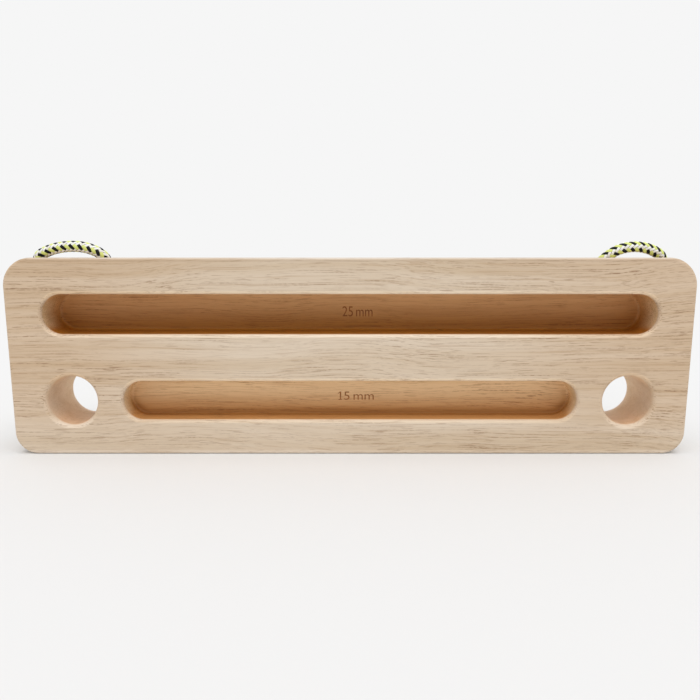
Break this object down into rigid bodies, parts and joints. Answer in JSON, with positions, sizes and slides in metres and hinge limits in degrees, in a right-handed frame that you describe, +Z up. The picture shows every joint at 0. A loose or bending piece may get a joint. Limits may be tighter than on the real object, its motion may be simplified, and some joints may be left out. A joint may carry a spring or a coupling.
{
  "type": "portable hangboard",
  "caption": "Wooden training board for climbers with routed finger slots, round finger holes and knotted cord loops.",
  "frame": {"origin": "middle of the board's lower edge face", "axes": "+X to the right of someone facing the slots, +Y towards the rear face, +Z up"},
  "size_m": [0.43, 0.073, 0.1354],
  "materials": {
    "wood": "satin",
    "cord": "woven"
  },
  "bodies": {
    "board": {"board": "wood"},
    "left_legs": {"left_outer_leg": "cord", "left_inner_leg": "cord", "left_outer_knot": "cord", "left_inner_knot": "cord"},
    "left_loop": {"left_loop": "cord"},
    "right_legs": {"right_outer_leg": "cord", "right_inner_leg": "cord", "right_outer_knot": "cord", "right_inner_knot": "cord"},
    "right_loop": {"right_loop": "cord"}
  },
  "joints": [
    {"name": "left_draw", "type": "slide", "parent": "board", "child": "left_legs", "axis": [0, -0.7071, 0.7071], "range_m": [0, 0.01]},
    {"name": "left_tilt", "type": "hinge", "parent": "left_legs", "child": "left_loop", "pos_m": [-0.1782, -0.001, 0.121], "axis": [1, 0, 0], "range_deg": [-30, 5], "stiffness_Nm_per_rad": 0.02},
    {"name": "right_draw", "type": "slide", "parent": "board", "child": "right_legs", "axis": [0, -0.7071, 0.7071], "range_m": [0, 0.01]},
    {"name": "right_tilt", "type": "hinge", "parent": "right_legs", "child": "right_loop", "pos_m": [0.1782, -0.001, 0.121], "axis": [1, 0, 0], "range_deg": [-30, 5], "stiffness_Nm_per_rad": 0.02}
  ]
}
